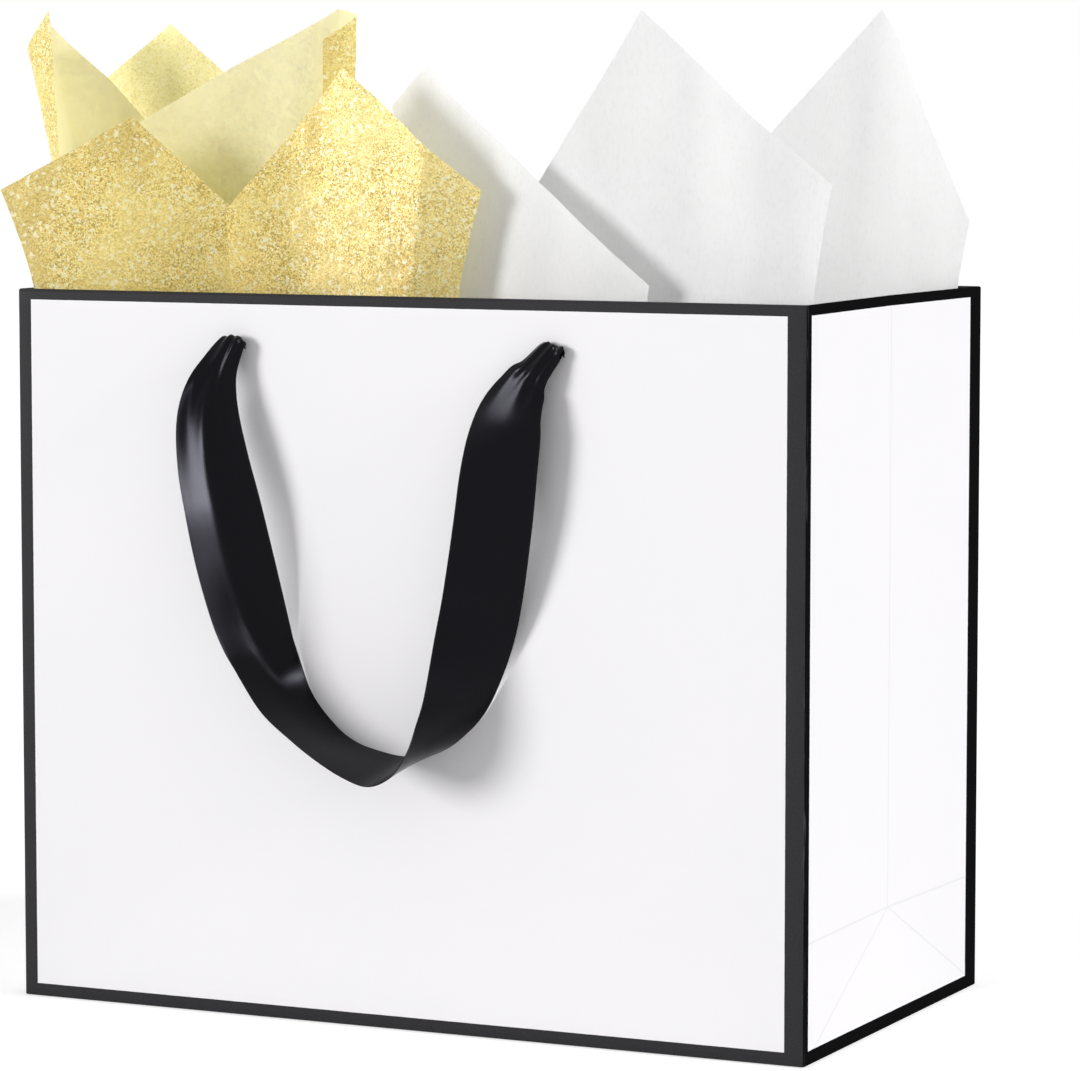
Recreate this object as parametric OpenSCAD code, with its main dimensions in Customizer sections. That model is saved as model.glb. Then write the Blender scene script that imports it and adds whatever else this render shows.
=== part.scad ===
// Paper gift bag with satin ribbon handles, filled with gold and white tissue paper.
// The origin is the middle of the base, on the floor. The front faces -Y and +Z is up.

/* [Bag] */
// Width of the bag across its front
bag_w = 280; // [240:1:340]
// Depth of the bag from front to back
bag_d = 153; // [130:1:190]
// Height of the bag
bag_h = 235; // [205:1:300]
// Thickness of the card that the bag is folded from
card_t = 0.5; // [0.3:0.1:0.7]
// Outside radius of the four upright folds
fold_r = 1.2; // [1:0.1:2]
// How far the centre crease of each gusset is tucked in
gusset_tuck = 2.4; // [1:0.1:5]
// Height of the point where the creases of a gusset meet
crease_h = 38; // [28:1:60]

/* [Rim] */
// Depth of the hem that is turned in around the mouth
hem_h = 40; // [34:1:60]
// Thickness of the stiffening board inside the front and back hems
stiff_t = 1.2; // [0.8:0.1:2]
// Height of the stiffening board
stiff_h = 36; // [30:1:50]

/* [Seams and bottom] */
// Width of the glued flap at the side seam
seam_w = 20; // [12:1:30]
// Overlap of the front and back bottom flaps
bottom_lap = 20; // [12:1:40]
// Reach of the side bottom flaps towards the middle
side_reach = 60; // [40:1:80]
// Thickness of the loose board on the bottom
base_t = 1.5; // [1:0.1:3]
// Play between the loose board and the walls
base_play = 1; // [0.8:0.1:3]

/* [Handles] */
// Distance between the two ribbon holes of a handle
hole_spacing = 113; // [90:1:140]
// Depth of the ribbon holes below the mouth
hole_drop = 17; // [15:1:26]
// Diameter of a ribbon hole
hole_d = 6; // [5:0.1:8]
// Width of the ribbon
ribbon_w = 25; // [16:1:30]
// Thickness of the ribbon
ribbon_t = 0.6; // [0.4:0.1:1]
// How far a loop hangs below its holes
loop_drop = 139; // [110:1:160]
// Distance from the panel at which a loop leaves its holes; lower down it comes closer
loop_gap = 3.4; // [2:0.1:6]
// Diameter of the knot behind a hole
knot_d = 14; // [12:0.5:18]
// Thickness of the knot
knot_t = 10; // [7:0.5:12]
// Length of the ribbon end below a knot
tail_l = 30; // [20:1:45]

/* [Tissue paper] */
// Thickness of a sheet of tissue, with its crumple
tissue_t = 0.5; // [0.3:0.1:0.8]
// Height of the gold peaks above the mouth
gold_rise = 92; // [60:1:120]
// Height of the white peaks above the mouth
white_rise = 91; // [60:1:120]
// Share by which the sheets draw together at the bottom
gather = 0.25; // [0:0.01:0.4]

/* [Hidden] */
$fn = 48;

// Clearance where one piece lies beside another that moves past it
fit_gap = 0.3;
// Radius of the fold over the stiffener, which is half the rim's thickness
rim_r = card_t + stiff_t / 2;
// The turned-in front and back hems end here, short of the gusset hems
hem_end = bag_w / 2 - max(fold_r, 2 * card_t + fit_gap);
// The front and back panels turn into the gussets here
gusset_end = bag_d / 2 - fold_r;
// The front and back bottom flaps stop where the upright folds start to turn
flap_w = bag_w - 2 * max(fold_r, card_t + fit_gap);
// Levels of the bottom: two flap layers, the side flaps, then the board
side_flap_z = 2 * card_t;
base_z = 3 * card_t;
base_top = base_z + base_t;

// A cut runs this far past what it cuts
cut = 1;
// The seam flap ends this far below the hem
seam_gap = 1;
// Least half width of the free end of a side bottom flap
flap_end = 12;

// Ribbon handles: the loop turns about a line in front of the panel, halfway out to the far
// edge of its left shoulder, the place that just clears the rim when the loop is raised
hole_x = hole_spacing / 2;
hole_z = bag_h - hole_drop;
shoulder_off = 2.5;
shoulder_heading = 75;
shoulder_share = 0.9;
shoulder_reach = shoulder_off * loop_gap + shoulder_share * ribbon_w * cos(shoulder_heading);
loop_pivot = (shoulder_reach + fit_gap) / 2;
// Distance of the bottom of a loop from the panel, in loop_gaps
bottom_off = 0.45;
// The ribbon is bunched to this share of its width at the holes, about a core of this radius
bunch_share = 0.22;
bunch_r = 2.5;
neck_r = hole_d / 2 - fit_gap;
// Thickness of one wrap of a knot and size of its second wrap, as shares of the knot
wrap_share = 0.55;
second_wrap = 0.8;

// One loop, from its left hole to its right one. Each row is one place along the ribbon's
// edge beside the panel: sideways place as a share of hole_x, fall as a share of loop_drop,
// distance from the panel in loop_gaps, heading of the width away from the panel (degrees
// towards -X), its tilt, and width share.
LOOP = [
  [-0.98, 0.045, 1.35, 80, -7, 0.5],
  [-0.975, 0.09, 1.9, 79, 6, 0.72],
  [-0.93, 0.153, shoulder_off, shoulder_heading, 15, shoulder_share],
  [-0.86, 0.25, 2.75, 73, 15, 0.97],
  [-0.795, 0.35, 2.65, 63, 14, 0.985],
  [-0.73, 0.46, 2.3, 60, 13, 0.99],
  [-0.675, 0.576, 1.7, 53, 13, 0.985],
  [-0.65, 0.64, 1.3, 40, 13, 0.98],
  [-0.615, 0.697, 0.95, 29, 13, 0.97],
  [-0.52, 0.80, 0.6, 12, 10, 0.97],
  [-0.38, 0.87, 0.48, 4, 7, 0.975],
  [-0.25, 0.906, bottom_off, 2, 8, 0.985],
  [-0.10, 0.924, bottom_off, 2, 13, 0.99],
  [0.04, 0.932, bottom_off, 1, 14, 1],
  [0.175, 0.928, bottom_off, 0, 4, 1],
  [0.315, 0.904, 0.48, 5, -6, 1],
  [0.445, 0.864, 0.55, 15, -13, 1],
  [0.565, 0.81, 0.75, 28, -15, 1],
  [0.67, 0.738, 1.05, 41, -14, 1],
  [0.78, 0.632, 1.6, 60, -14, 1],
  [0.845, 0.53, 2.05, 64, -8, 1],
  [0.905, 0.39, 2.5, 66, -6, 0.985],
  [0.945, 0.256, 2.7, 76, -6, 0.975],
  [0.965, 0.154, 2.5, 86, -4, 0.93],
  [0.973, 0.08, 2, 88, -4, 0.78],
  [0.985, 0.045, 1.5, 80, -10, 0.5]
];

// Tissue: a sheet is a standing curtain. Each row is one place along it: sideways place and
// depth as shares of the space inside the rim, then how far its top leans in X and in Y
// and its height above the rim, all three as shares of the colour's tallest peak.
GOLD_FRONT_LEFT = [
  [-1.00, -0.087, -0.12, -0.022, 0.35],
  [-0.86, -0.057, -0.076, -0.022, 0.48],
  [-0.713, -0.027, -0.049, -0.022, 0.61],
  [-0.56, 0.015, -0.011, -0.005, 0.36],
  [-0.426, 0.05, 0, 0, 0.17]
];
GOLD_FRONT_RIGHT = [
  [-0.507, 0.008, -0.016, 0, 0.283],
  [-0.368, 0.004, 0, 0, 0.53],
  [-0.228, 0.004, 0.022, 0, 0.783],
  [-0.088, 0.004, 0.033, 0, 0.61],
  [0.081, 0.049, 0.098, -0.022, 0.36]
];
GOLD_BACK_LEFT = [
  [-0.963, 0.034, -0.087, -0.011, 0.99],
  [-0.996, 0.087, -0.158, -0.011, 0.85],
  [-0.97, 0.14, -0.163, -0.011, 0.945],
  [-0.868, 0.186, -0.098, -0.011, 0.74],
  [-0.735, 0.216, -0.043, -0.011, 0.47]
];
GOLD_BACK_MIDDLE = [
  [-0.94, 0.307, -0.109, -0.011, 0.75],
  [-0.794, 0.307, -0.054, -0.011, 0.945],
  [-0.669, 0.307, -0.033, -0.011, 0.78],
  [-0.515, 0.307, -0.022, -0.011, 0.576]
];
GOLD_BACK_RIGHT = [
  [-0.794, 0.11, -0.033, 0, 0.587],
  [-0.559, 0.14, -0.011, 0, 0.79],
  [-0.316, 0.178, 0.022, 0, 0.99],
  [-0.261, 0.148, 0.033, 0, 0.967],
  [-0.309, 0.102, 0.011, -0.011, 0.88]
];
WHITE_FRONT = [
  [-0.147, 0.193, -0.022, 0, 0.66],
  [-0.051, 0.171, -0.011, -0.011, 0.79],
  [0.257, 0.095, 0, -0.011, 0.41],
  [0.574, 0.015, 0.011, -0.009, 0.044]
];
WHITE_MIDDLE = [
  [0.206, 0.186, 0, -0.011, 0.34],
  [0.50, 0.125, 0.022, -0.011, 0.99],
  [0.757, 0.064, 0.022, -0.011, 0.69],
  [0.996, 0.004, 0.06, 0, 0.396]
];
WHITE_SIDE = [
  [0.706, 0.307, 0.022, 0, 0.495],
  [0.904, 0.55, 0.049, 0.022, 0.995],
  [0.963, 0.7625, 0.033, 0.011, 0.60],
  [1.00, 0.96, 0.038, 0, 0.24]
];
GOLD_MIDDLE = [-0.53, 0.155];
WHITE_MIDDLE_POINT = [0.53, 0.27];

// The sheets keep this far from the walls and the knots, and stand behind everything that a
// raised handle sweeps over the rim
tissue_room = 3;
loop_reach = bottom_off * loop_gap + ribbon_w + ribbon_t;
tissue_front = -bag_d / 2 + max(loop_reach - 2 * loop_pivot, 2 * rim_r + knot_t) + tissue_room;
tissue_back = bag_d / 2 - 2 * rim_r - tissue_room;
tissue_half_w = bag_w / 2 - 2 * card_t - gusset_tuck - tissue_t;
tissue_z = base_top + fit_gap;

BODY = "whitesmoke";
BOARD = "burlywood";
SATIN = [0.1, 0.1, 0.12];
GOLD = [0.85, 0.69, 0.33];
WHITE = [0.93, 0.93, 0.94];

// ---------------------------------------------------------------- folded card

// Plan of the rounded box at a distance inside the outer faces
module box_plan(inset) {
  w = bag_w / 2 - fold_r;
  d = bag_d / 2 - fold_r;
  r = fold_r - inset;
  square([2 * (w + r), 2 * d], center = true);
  square([2 * w, 2 * (d + r)], center = true);
  for (x = [-w, w])
    for (y = [-d, d])
      translate([x, y]) circle(r);
}

// Plan of the front panel, with half of the fold at each end
module panel_plan() {
  intersection() {
    difference() {
      box_plan(0);
      box_plan(card_t);
    }
    translate([-bag_w, -bag_d])
      square([2 * bag_w, bag_d - gusset_end]);
  }
}

// The two holes of a handle, right through the rim
module ribbon_holes() {
  for (x = [-hole_x, hole_x])
    translate([x, -bag_d / 2 + 2 * rim_r + cut, hole_z])
      rotate([90, 0, 0])
        cylinder(h = 2 * (rim_r + cut), d = hole_d);
}

// Front panel: flat up to the fold of the hem, and its corners up to the mouth
module wall_panel() {
  difference() {
    union() {
      linear_extrude(bag_h - rim_r) panel_plan();
      linear_extrude(bag_h)
        difference() {
          panel_plan();
          square([2 * hem_end, 2 * bag_d], center = true);
        }
    }
    ribbon_holes();
  }
}

// Section of the hem, out of its outer face and about the middle of its fold
module hem_section() {
  translate([rim_r, 0])
    difference() {
      circle(rim_r);
      circle(rim_r - card_t);
      translate([-2 * rim_r, -2 * rim_r]) square([4 * rim_r, 2 * rim_r]);
    }
  translate([2 * rim_r - card_t, rim_r - hem_h])
    square([card_t, hem_h - rim_r]);
}

// Front hem: the card folded over the stiffener and down the inside
module wall_hem() {
  difference() {
    translate([0, -bag_d / 2, bag_h - rim_r])
      rotate([90, 0, 90])
        linear_extrude(2 * hem_end, center = true) hem_section();
    ribbon_holes();
  }
}

module wall_stiffener() {
  difference() {
    translate([-hem_end, -bag_d / 2 + card_t, bag_h - rim_r - stiff_h])
      cube([2 * hem_end, stiff_t, stiff_h]);
    ribbon_holes();
  }
}

// Plan of a layer of the right gusset, between two distances inside its outer face
module gusset_plan(outside, inside) {
  x = bag_w / 2;
  polygon([
    [x - outside, -gusset_end], [x - gusset_tuck - outside, 0], [x - outside, gusset_end],
    [x - inside, gusset_end], [x - gusset_tuck - inside, 0], [x - inside, -gusset_end]
  ]);
}

// Right gusset: two tall faces that meet at the tucked crease, and below the point where
// the creases meet, a triangle that runs down to the bottom corners
module side_gusset() {
  face = [
    for (x = [bag_w / 2, bag_w / 2 - card_t]) each [
      [x, -gusset_end, 0], [x, gusset_end, 0],
      [x, gusset_end, crease_h], [x, gusset_end, bag_h - card_t],
      [x - gusset_tuck, 0, bag_h - card_t], [x, -gusset_end, bag_h - card_t],
      [x, -gusset_end, crease_h], [x - gusset_tuck, 0, crease_h]
    ]
  ];
  creased = [[0, 7, 1], [1, 7, 2], [2, 7, 4], [2, 4, 3], [6, 5, 4], [6, 4, 7], [0, 6, 7]];
  edge = [0, 1, 2, 3, 4, 5, 6];
  n = 8;
  polyhedron(face, concat(
    creased,
    [for (f = creased) [f[0] + n, f[2] + n, f[1] + n]],
    [for (k = [0:6]) let (a = edge[k], b = edge[(k + 1) % 7]) each
      [[a, b, b + n], [a, b + n, a + n]]]
  ));
}

// Right hem: a single fold of card over the gusset, with no board in it
module side_hem() {
  translate([0, 0, bag_h - card_t])
    linear_extrude(card_t) gusset_plan(0, 2 * card_t);
  translate([0, 0, bag_h - hem_h])
    linear_extrude(hem_h - card_t) gusset_plan(card_t, 2 * card_t);
}

// Flap of the left gusset, glued up the inside of the back panel
module seam_flap() {
  translate([-bag_w / 2 + fold_r, bag_d / 2 - 2 * card_t, base_z])
    cube([seam_w, card_t, bag_h - rim_r - max(hem_h, stiff_h) - base_z - seam_gap]);
}

// ---------------------------------------------------------------- bottom

module back_flap() {
  translate([-flap_w / 2, -bottom_lap / 2, 0])
    cube([flap_w, (bag_d + bottom_lap) / 2 - card_t, card_t]);
}

// The front flap steps up over the edge of the back flap
module front_flap() {
  start = -bag_d / 2 + card_t;
  step = -bottom_lap / 2 - fit_gap;
  rotate([90, 0, 90])
    linear_extrude(flap_w, center = true)
      polygon([
        [start, 0], [step - card_t, 0], [step, card_t], [bottom_lap / 2, card_t],
        [bottom_lap / 2, 2 * card_t], [step - card_t / 2, 2 * card_t],
        [step - 1.5 * card_t, card_t], [start, card_t]
      ]);
}

// Right flap: the tapered end of the gusset, on top of the front and back flaps
module side_flap() {
  half_d = bag_d / 2 - card_t - fit_gap;
  outer = bag_w / 2 - card_t - gusset_tuck * base_z / crease_h;
  reach = min(side_reach, half_d - flap_end);
  translate([0, 0, side_flap_z])
    linear_extrude(card_t)
      polygon([
        [outer, -half_d], [outer, half_d],
        [outer - reach, half_d - reach], [outer - reach, reach - half_d]
      ]);
}

module base_board() {
  size = [bag_w - 2 * card_t - 2 * base_play, bag_d - 2 * card_t - 2 * base_play, base_t];
  translate([-size.x / 2, -size.y / 2, base_z]) cube(size);
}

// ---------------------------------------------------------------- solids between two faces

// Closed solid between two grids of points of the same rows and columns
module slab(a, b) {
  rows = len(a);
  cols = len(a[0]);
  n = rows * cols;
  skin = [
    for (i = [0:rows - 2])
      for (j = [0:cols - 2])
        let (p = i * cols + j) each
          [[p, p + 1, p + cols + 1], [p, p + cols + 1, p + cols]]
  ];
  ring = concat(
    [for (j = [0:cols - 2]) j],
    [for (i = [0:rows - 2]) i * cols + cols - 1],
    [for (j = [cols - 1:-1:1]) (rows - 1) * cols + j],
    [for (i = [rows - 1:-1:1]) i * cols]
  );
  polyhedron(
    concat([for (row = a) each row], [for (row = b) each row]),
    concat(
      skin,
      [for (f = skin) [f[0] + n, f[2] + n, f[1] + n]],
      [for (k = [0:len(ring) - 1]) let (p = ring[k], q = ring[(k + 1) % len(ring)]) each
        [[q, p, p + n], [q, p + n, q + n]]]
    )
  );
}

// Point of a smooth curve through a list of points, at the share t from p[k] to p[k + 1]
function through(p, k, t) =
  let (
    last = len(p) - 1,
    a = k > 0 ? p[k - 1] : 2 * p[0] - p[1],
    d = k < last - 1 ? p[k + 2] : 2 * p[last] - p[last - 1]
  )
  (2 * p[k] + (p[k + 1] - a) * t
    + (2 * a - 5 * p[k] + 4 * p[k + 1] - d) * t * t
    + (3 * p[k] - a - 3 * p[k + 1] + d) * t * t * t) / 2;

function smooth(p, steps) = concat(
  [for (k = [0:len(p) - 2]) for (i = [0:steps - 1]) through(p, k, i / steps)],
  [p[len(p) - 1]]
);

function unit(v) = v / norm(v);

// ---------------------------------------------------------------- ribbon handles

// Direction of the ribbon's width at a row of LOOP, away from the panel
function width_dir(row) = [
  -sin(row[3]) * cos(row[4]), -cos(row[3]) * cos(row[4]), -sin(row[4])
];

// Middle of the ribbon at a row of LOOP
function loop_middle(row) =
  [row[0] * hole_x, -bag_d / 2 - row[2] * loop_gap, hole_z - row[1] * loop_drop]
    + width_dir(row) * row[5] * ribbon_w / 2;

// Smooth run of a list of values along the loop, with a value for the bunch at each end
function along_loop(left, values, right) = smooth(concat([left], values, [right]), 2);

module ribbon_loop() {
  bunch = [for (side = [-1, 1]) [side * hole_x, -bag_d / 2 - loop_pivot, hole_z]];
  mid = along_loop(bunch[0], [for (row = LOOP) loop_middle(row)], bunch[1]);
  across = along_loop([-1, 0, 0], [for (row = LOOP) width_dir(row)], [-1, 0, 0]);
  share = along_loop([bunch_share], [for (row = LOOP) [row[5]]], [bunch_share]);
  last = len(mid) - 1;
  face = function (side) [
    for (i = [0:last])
      let (
        along = mid[min(i + 1, last)] - mid[max(i - 1, 0)],
        out = unit(cross(unit(across[i]), unit(along))) * side * ribbon_t / 2,
        w = unit(across[i]) * share[i][0] * ribbon_w / 2
      )
      [mid[i] - w + out, mid[i] + w + out]
  ];
  slab(face(-1), face(1));
  for (p = bunch)
    translate(p)
      rotate([0, 90, 0])
        cylinder(h = 2 * bunch_r, r = bunch_r, center = true);
}

// A rounded disc of ribbon, one wrap of a knot
module knot_wrap(d, t) {
  rotate_extrude() {
    translate([(d - t) / 2, 0]) circle(t / 2);
    translate([0, -t / 2]) square([(d - t) / 2, t]);
  }
}

// The fixed end of a ribbon: its neck in the hole, its knot and its cut end
module ribbon_knots() {
  inside = -bag_d / 2 + 2 * rim_r;
  neck_end = -bag_d / 2 - loop_pivot + bunch_r + fit_gap;
  wrap_t = knot_t * wrap_share;
  for (x = [-hole_x, hole_x])
    translate([x, inside, hole_z]) {
      translate([0, neck_end - inside, 0])
        rotate([-90, 0, 0])
          cylinder(h = inside - neck_end + knot_t / 2, r = neck_r);
      translate([0, wrap_t / 2, 0])
        rotate([90, 0, 0]) knot_wrap(knot_d, wrap_t);
      translate([0, knot_t - wrap_t / 2, 0])
        rotate([90, 0, 0]) knot_wrap(knot_d * second_wrap, wrap_t);
      translate([0, ribbon_t, 0])
        rotate([90, 0, 0])
          linear_extrude(ribbon_t)
            polygon([
              [-neck_r, 0], [neck_r, 0], [ribbon_w / 2, -knot_d],
              [ribbon_w / 2, -tail_l - knot_d / 2], [-ribbon_w / 2, -tail_l + knot_d / 2],
              [-ribbon_w / 2, -knot_d]
            ]);
    }
}

// ---------------------------------------------------------------- tissue paper

// Place in the bag of a sideways share and a depth share
function inside_rim(u, v) =
  [u * tissue_half_w, tissue_front + v * (tissue_back - tissue_front)];

// A sheet of tissue: it leans out above the rim and draws in towards the middle below it
module tissue_sheet(rows, middle, rise) {
  rim = [for (row = rows) inside_rim(row[0], row[1])];
  foot = [for (p = rim) p + (inside_rim(middle[0], middle[1]) - p) * gather];
  top = [for (k = [0:len(rows) - 1]) rim[k] + [rows[k][2], rows[k][3]] * rise];
  tall = [for (row = rows) bag_h + row[4] * rise];
  last = len(rows) - 1;
  level = function (plan, z, side) [
    for (k = [0:last])
      let (
        along = unit(rim[min(k + 1, last)] - rim[max(k - 1, 0)]),
        p = plan[k] + [-along.y, along.x] * side * tissue_t / 2
      )
      [p.x, p.y, z[k]]
  ];
  flat = function (z) [for (row = rows) z];
  face = function (side) [
    level(foot, flat(tissue_z), side), level(rim, flat(bag_h), side), level(top, tall, side)
  ];
  slab(face(1), face(-1));
}

// ---------------------------------------------------------------- the pieces

module front_panel() { color(BODY) wall_panel(); }
module back_panel() { color(BODY) rotate(180) wall_panel(); }
module left_gusset() { color(BODY) rotate(180) side_gusset(); }
module right_gusset() { color(BODY) side_gusset(); }
module side_seam_flap() { color(BODY) seam_flap(); }
module front_hem() { color(BODY) wall_hem(); }
module back_hem() { color(BODY) rotate(180) wall_hem(); }
module left_hem() { color(BODY) rotate(180) side_hem(); }
module right_hem() { color(BODY) side_hem(); }
module front_stiffener() { color(BOARD) wall_stiffener(); }
module back_stiffener() { color(BOARD) rotate(180) wall_stiffener(); }
module front_bottom_flap() { color(BODY) front_flap(); }
module back_bottom_flap() { color(BODY) back_flap(); }
module left_bottom_flap() { color(BODY) rotate(180) side_flap(); }
module right_bottom_flap() { color(BODY) side_flap(); }
module loose_base_board() { color(BOARD) base_board(); }
module front_ribbon_knots() { color(SATIN) ribbon_knots(); }
module back_ribbon_knots() { color(SATIN) rotate(180) ribbon_knots(); }
module front_ribbon_loop() { color(SATIN) ribbon_loop(); }
module back_ribbon_loop() { color(SATIN) rotate(180) ribbon_loop(); }
module gold_sheet(rows) { color(GOLD) tissue_sheet(rows, GOLD_MIDDLE, gold_rise); }
module white_sheet(rows) { color(WHITE) tissue_sheet(rows, WHITE_MIDDLE_POINT, white_rise); }

front_panel();
back_panel();
left_gusset();
right_gusset();
side_seam_flap();
front_hem();
back_hem();
left_hem();
right_hem();
front_stiffener();
back_stiffener();
front_bottom_flap();
back_bottom_flap();
left_bottom_flap();
right_bottom_flap();
loose_base_board();  // base_board
front_ribbon_knots();
back_ribbon_knots();
front_ribbon_loop();
back_ribbon_loop();
gold_sheet(GOLD_FRONT_LEFT);  // gold_sheet_front_left
gold_sheet(GOLD_FRONT_RIGHT);  // gold_sheet_front_right
gold_sheet(GOLD_BACK_LEFT);  // gold_sheet_back_left
gold_sheet(GOLD_BACK_MIDDLE);  // gold_sheet_back_middle
gold_sheet(GOLD_BACK_RIGHT);  // gold_sheet_back_right
white_sheet(WHITE_FRONT);  // white_sheet_front
white_sheet(WHITE_MIDDLE);  // white_sheet_middle
white_sheet(WHITE_SIDE);  // white_sheet_side
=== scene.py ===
"""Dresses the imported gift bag: printed card, satin ribbon handles and tissue paper."""

import math

import bmesh
import bpy
import numpy as np
from mathutils import Euler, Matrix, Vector, noise


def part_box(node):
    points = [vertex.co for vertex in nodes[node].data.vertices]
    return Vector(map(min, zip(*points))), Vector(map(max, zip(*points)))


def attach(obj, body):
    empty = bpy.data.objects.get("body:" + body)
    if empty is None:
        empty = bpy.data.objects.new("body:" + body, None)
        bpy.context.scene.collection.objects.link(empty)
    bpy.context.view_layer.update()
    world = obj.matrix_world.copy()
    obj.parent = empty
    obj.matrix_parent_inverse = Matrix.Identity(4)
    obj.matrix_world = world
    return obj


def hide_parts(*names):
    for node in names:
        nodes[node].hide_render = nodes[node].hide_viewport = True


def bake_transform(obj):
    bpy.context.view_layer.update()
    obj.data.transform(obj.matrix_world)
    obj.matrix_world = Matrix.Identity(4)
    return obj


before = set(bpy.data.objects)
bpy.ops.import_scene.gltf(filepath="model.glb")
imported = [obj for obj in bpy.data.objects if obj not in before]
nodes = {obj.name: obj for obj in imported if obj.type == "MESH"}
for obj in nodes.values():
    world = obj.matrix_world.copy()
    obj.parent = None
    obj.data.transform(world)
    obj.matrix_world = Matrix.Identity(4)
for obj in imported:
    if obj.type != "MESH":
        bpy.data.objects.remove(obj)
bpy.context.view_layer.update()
MM = 0.001

# ---------------------------------------------------------------- camera, lights and floor

CAMERA_AT = (0.688, -1.4213, 0.3024)
CAMERA_DIP = math.radians(5.42)
CAMERA_TURN = math.radians(25.38)
CAMERA_LENS = 159.2
CAMERA_REACH = 30


def placed(name, data):
    """A new object in the scene."""
    thing = bpy.data.objects.new(name, data)
    bpy.context.scene.collection.objects.link(thing)
    return thing


camera_data = bpy.data.cameras.new("camera")
camera_data.lens = CAMERA_LENS
camera_data.clip_end = CAMERA_REACH
camera = placed("camera", camera_data)
camera.location = CAMERA_AT
camera.rotation_euler = Euler((math.pi / 2 - CAMERA_DIP, 0, CAMERA_TURN))
bpy.context.scene.camera = camera
bpy.context.scene.view_settings.view_transform = "Standard"


def sun(name, direction, strength, softness):
    """Even light from a direction; softness is the width of the lamp in degrees."""
    data = bpy.data.lights.new(name, "SUN")
    data.energy = strength * math.pi
    data.angle = math.radians(softness)
    lamp = placed(name, data)
    lamp.rotation_euler = Vector(direction).to_track_quat("Z", "Y").to_euler()


def seen_directly(tree):
    """1 for a ray of the camera, or one that gloss or glass sends on, and 0 for light."""
    path = tree.nodes.new("ShaderNodeLightPath")
    seen = path.outputs["Is Camera Ray"]
    for kind in ("Is Glossy Ray", "Is Transmission Ray"):
        either = tree.nodes.new("ShaderNodeMath")
        either.operation = "MAXIMUM"
        tree.links.new(seen, either.inputs[0])
        tree.links.new(path.outputs[kind], either.inputs[1])
        seen = either.outputs[0]
    return seen


def white_surroundings(strength):
    """Plain white behind the bag and in its gloss, and soft white light of this strength."""
    world = bpy.data.worlds.new("surroundings")
    bpy.context.scene.world = world
    world.use_nodes = True
    tree = world.node_tree
    level = tree.nodes.new("ShaderNodeMapRange")
    level.inputs["To Min"].default_value = strength
    level.inputs["To Max"].default_value = 1
    tree.links.new(seen_directly(tree), level.inputs["Value"])
    background = tree.nodes["Background"]
    background.inputs["Color"].default_value = (1, 1, 1, 1)
    tree.links.new(level.outputs["Result"], background.inputs["Strength"])


white_surroundings(0.445)
sun("key", direction=(-0.69, -0.71, 0.14), strength=0.685, softness=22)
sun("side_fill", direction=(0.90, 0.0, 0.44), strength=0.60, softness=12)

# ---------------------------------------------------------------- sizes

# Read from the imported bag. The front faces -Y, and its base stands at z = 0.
panel_low, panel_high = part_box("front_panel")
HALF_W = panel_high.x
HALF_D = -panel_low.y
HEIGHT = panel_high.z
hem_low, hem_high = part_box("front_hem")
RIM_R = (hem_high.y - hem_low.y) / 2
HEM_H = hem_high.z - hem_low.z
flap_low, flap_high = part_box("back_bottom_flap")
CARD = flap_high.z - flap_low.z

# The folded card: FOLD_R rounds its upright folds, TUCK draws the middle of a gusset in,
# CREASE_H is where a gusset's creases meet, SIDE_RIM_R rounds the rim over a gusset, whose
# hem has no board in it, PANEL_BOW is the bulge of the front and back, and SHEET_T, a little
# less than CARD, keeps the sheet off the flaps and boards inside.
FOLD_R = 1.2 * MM
TUCK = 2.4 * MM
CREASE_H = 38 * MM
SIDE_RIM_R = CARD
PANEL_BOW = 0.45 * MM
SHEET_T = 0.92 * CARD

# HOLE_SHIFT moves the holes to the left, seen from outside. LOOP_DROP is the fall from the
# holes to the foot of a loop, and LOOP_GAP the unit of its distance from the panel.
HOLE_X = 56.5 * MM
HOLE_Z = HEIGHT - 17 * MM
HOLE_R = 2.4 * MM
HOLE_SHIFT = 1.2 * MM
LOOP_DROP = 139 * MM
LOOP_GAP = 3.4 * MM
RIBBON_W = 25 * MM
RIBBON_T = 0.3 * MM

# ---------------------------------------------------------------- meshes


def smooth(points, steps):
    """A smooth curve through the rows of an array, with steps samples per row."""
    p = np.asarray(points, float)
    before = np.vstack([2 * p[0] - p[1], p[:-1]])
    after = np.vstack([p[1:], 2 * p[-1] - p[-2]])
    out = []
    for k in range(len(p) - 1):
        a, b, c, d = before[k], p[k], p[k + 1], after[k + 1]
        for i in range(steps):
            t = i / steps
            out.append((2 * b + (c - a) * t + (2 * a - 5 * b + 4 * c - d) * t**2
                        + (3 * b - a - 3 * c + d) * t**3) / 2)
    return np.array(out + [p[-1]])


def straight(points, steps):
    """Samples on the straight lines between the rows of an array, to go with smooth()."""
    p = np.asarray(points, float)
    at = np.arange((len(p) - 1) * steps + 1) / steps
    return np.array([np.interp(at, range(len(p)), column) for column in p.T]).T


def unit(v):
    """Each row of an array at length 1."""
    return v / np.linalg.norm(v, axis=-1, keepdims=True)


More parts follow.
